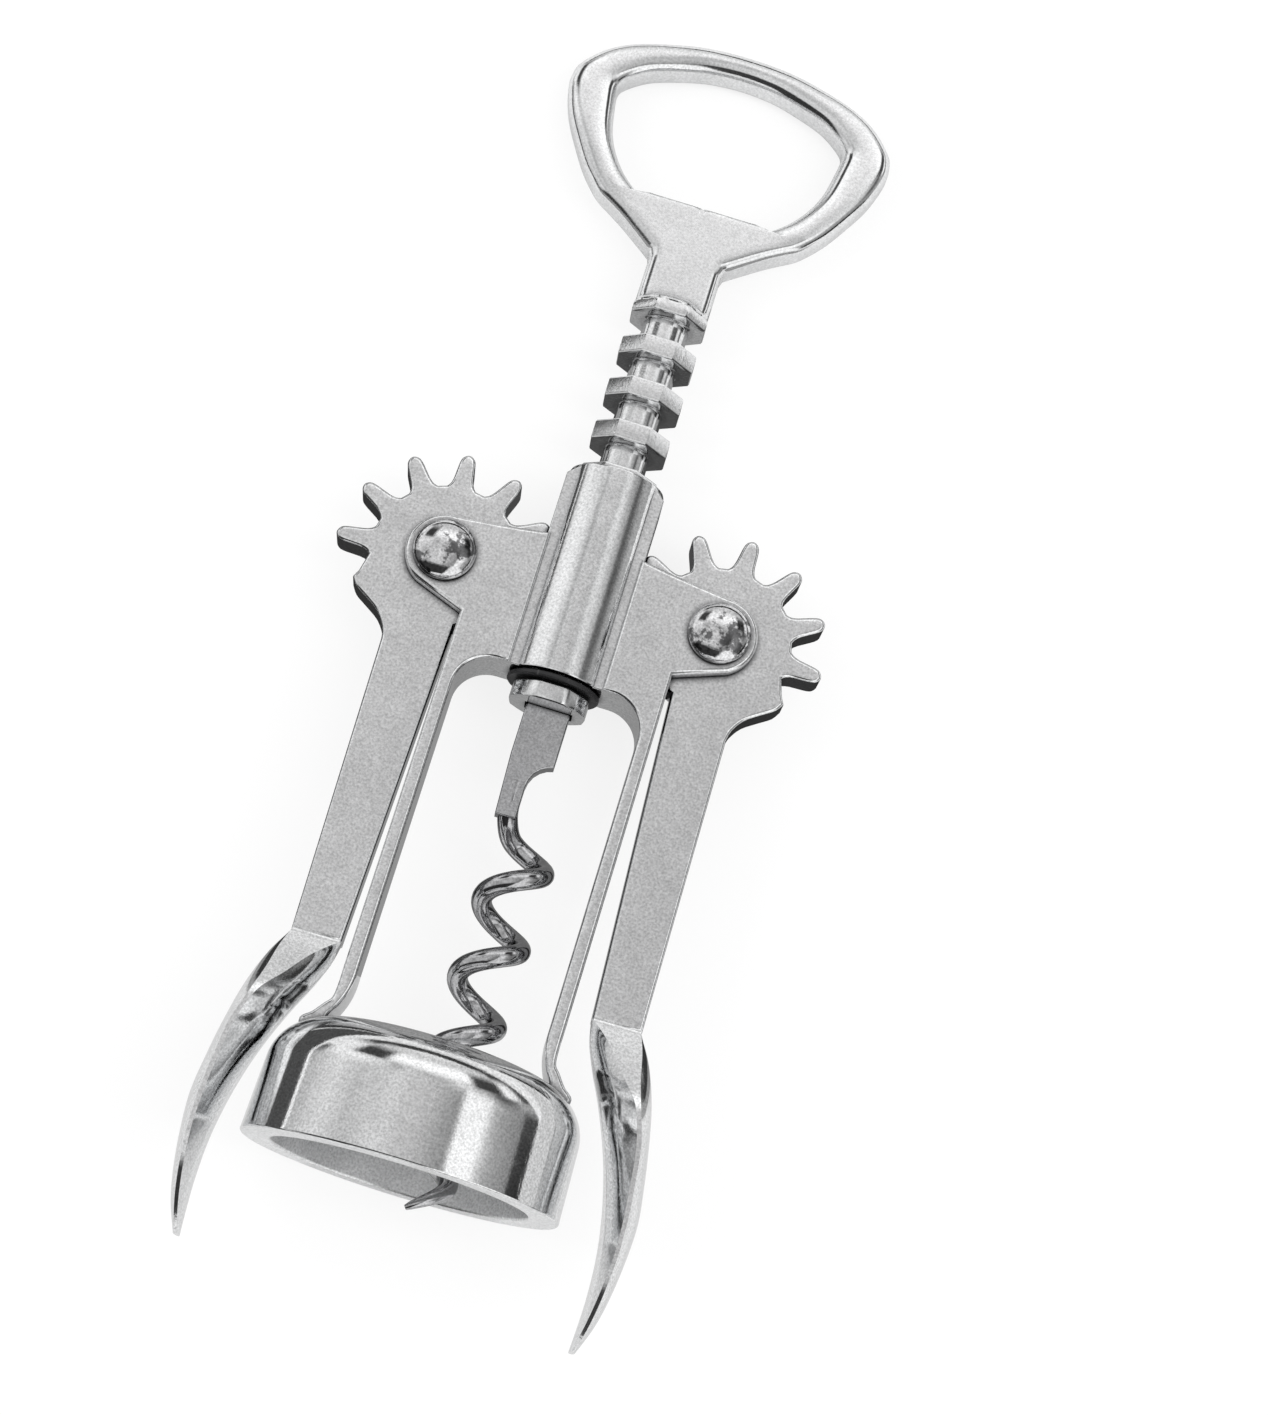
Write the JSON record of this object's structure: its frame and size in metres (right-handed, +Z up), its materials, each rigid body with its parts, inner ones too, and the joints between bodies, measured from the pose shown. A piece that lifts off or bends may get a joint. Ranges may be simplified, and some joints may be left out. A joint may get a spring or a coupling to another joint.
{
  "type": "winged lever corkscrew",
  "caption": "Winged lever corkscrew: a bell frame, geared arms that turn on rivets, a toothed rack with a ring handle and opener lip, and a steel worm.",
  "frame": {"origin": "centre of the bounding box on the surface that the tool lies on", "axes": "+Y towards the ring handle, +Z up out of the tool's front, +X to the right seen from above with the handle away"},
  "size_m": [0.0692, 0.1834, 0.0436],
  "materials": {
    "cast_chrome": "bright chrome over a casting, polished bell and barrel, satin yoke faces",
    "handle_chrome": "bright chrome over a casting with satin flats",
    "lever_chrome": "satin flat faces with polished wings",
    "worm_steel": "darker drawn steel wire, smooth",
    "rivet_steel": "polished domed heads",
    "washer_black": "black stop washer"
  },
  "bodies": {
    "frame": {"frame_body": "cast_chrome", "left_rivet": "rivet_steel", "right_rivet": "rivet_steel"},
    "washer": {"stop_washer": "washer_black"},
    "spindle": {"handle_rack": "handle_chrome", "worm": "worm_steel"},
    "left_arm": {"left_lever": "lever_chrome"},
    "right_arm": {"right_lever": "lever_chrome"}
  },
  "joints": [
    {"name": "rack_slide", "type": "slide", "parent": "frame", "child": "washer", "axis": [0, -0.9935, 0.1135], "range_m": [0, 0.0333]},
    {"name": "handle_spin", "type": "hinge", "parent": "washer", "child": "spindle", "pos_m": [0, -0.00795, 0.01434], "axis": [0, 0.9935, -0.1135], "continuous": true},
    {"name": "left_lever_hinge", "type": "hinge", "parent": "frame", "child": "left_arm", "pos_m": [-0.0195, 0.00497, 0.01287], "axis": [0, -0.1135, -0.9935], "range_deg": [0, 150]},
    {"name": "right_lever_hinge", "type": "hinge", "parent": "frame", "child": "right_arm", "pos_m": [0.0195, 0.00497, 0.01287], "axis": [0, 0.1135, 0.9935], "range_deg": [0, 150]}
  ],
  "couplings": [
    {"joint": "left_lever_hinge", "follows": "rack_slide", "rad_per_m": 78.149},
    {"joint": "right_lever_hinge", "follows": "rack_slide", "rad_per_m": 78.149}
  ]
}
